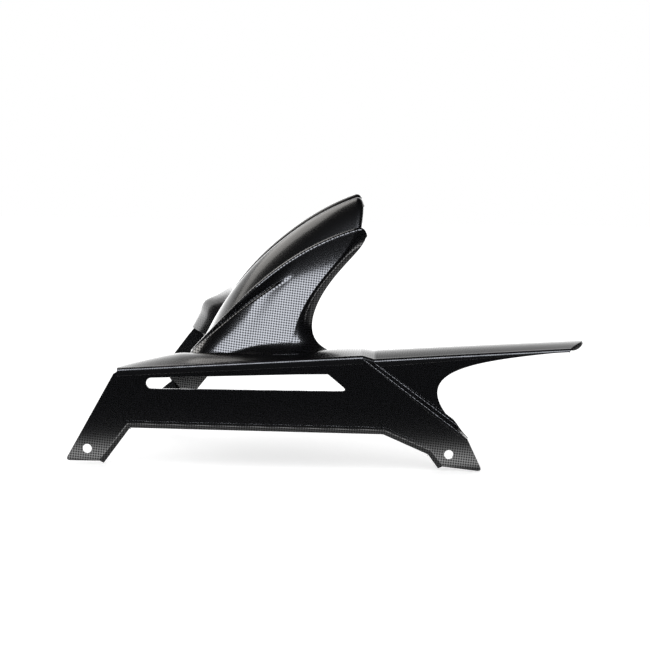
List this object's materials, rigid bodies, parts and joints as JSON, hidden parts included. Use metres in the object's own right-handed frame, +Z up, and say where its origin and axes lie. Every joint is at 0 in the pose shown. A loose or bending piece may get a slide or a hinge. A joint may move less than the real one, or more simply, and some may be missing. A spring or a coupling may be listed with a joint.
{
  "type": "motorcycle rear wheel hugger with chain guard",
  "caption": "One-piece rear wheel hugger: a crested arch over the tyre, a slotted chain guard panel with two bolt feet, a long rear beak and a far side leg.",
  "frame": {"origin": "midway between the two chain guard bolts, on the outer face of the guard panel", "axes": "+X to the rear of the bike, +Y from the chain side across the wheel, +Z up"},
  "size_m": [0.6429, 0.2094, 0.3336],
  "materials": {
    "moulding": "satin-gloss ABS with a printed twill weave film"
  },
  "bodies": {
    "root": {"fender_moulding": "moulding"}
  },
  "joints": []
}
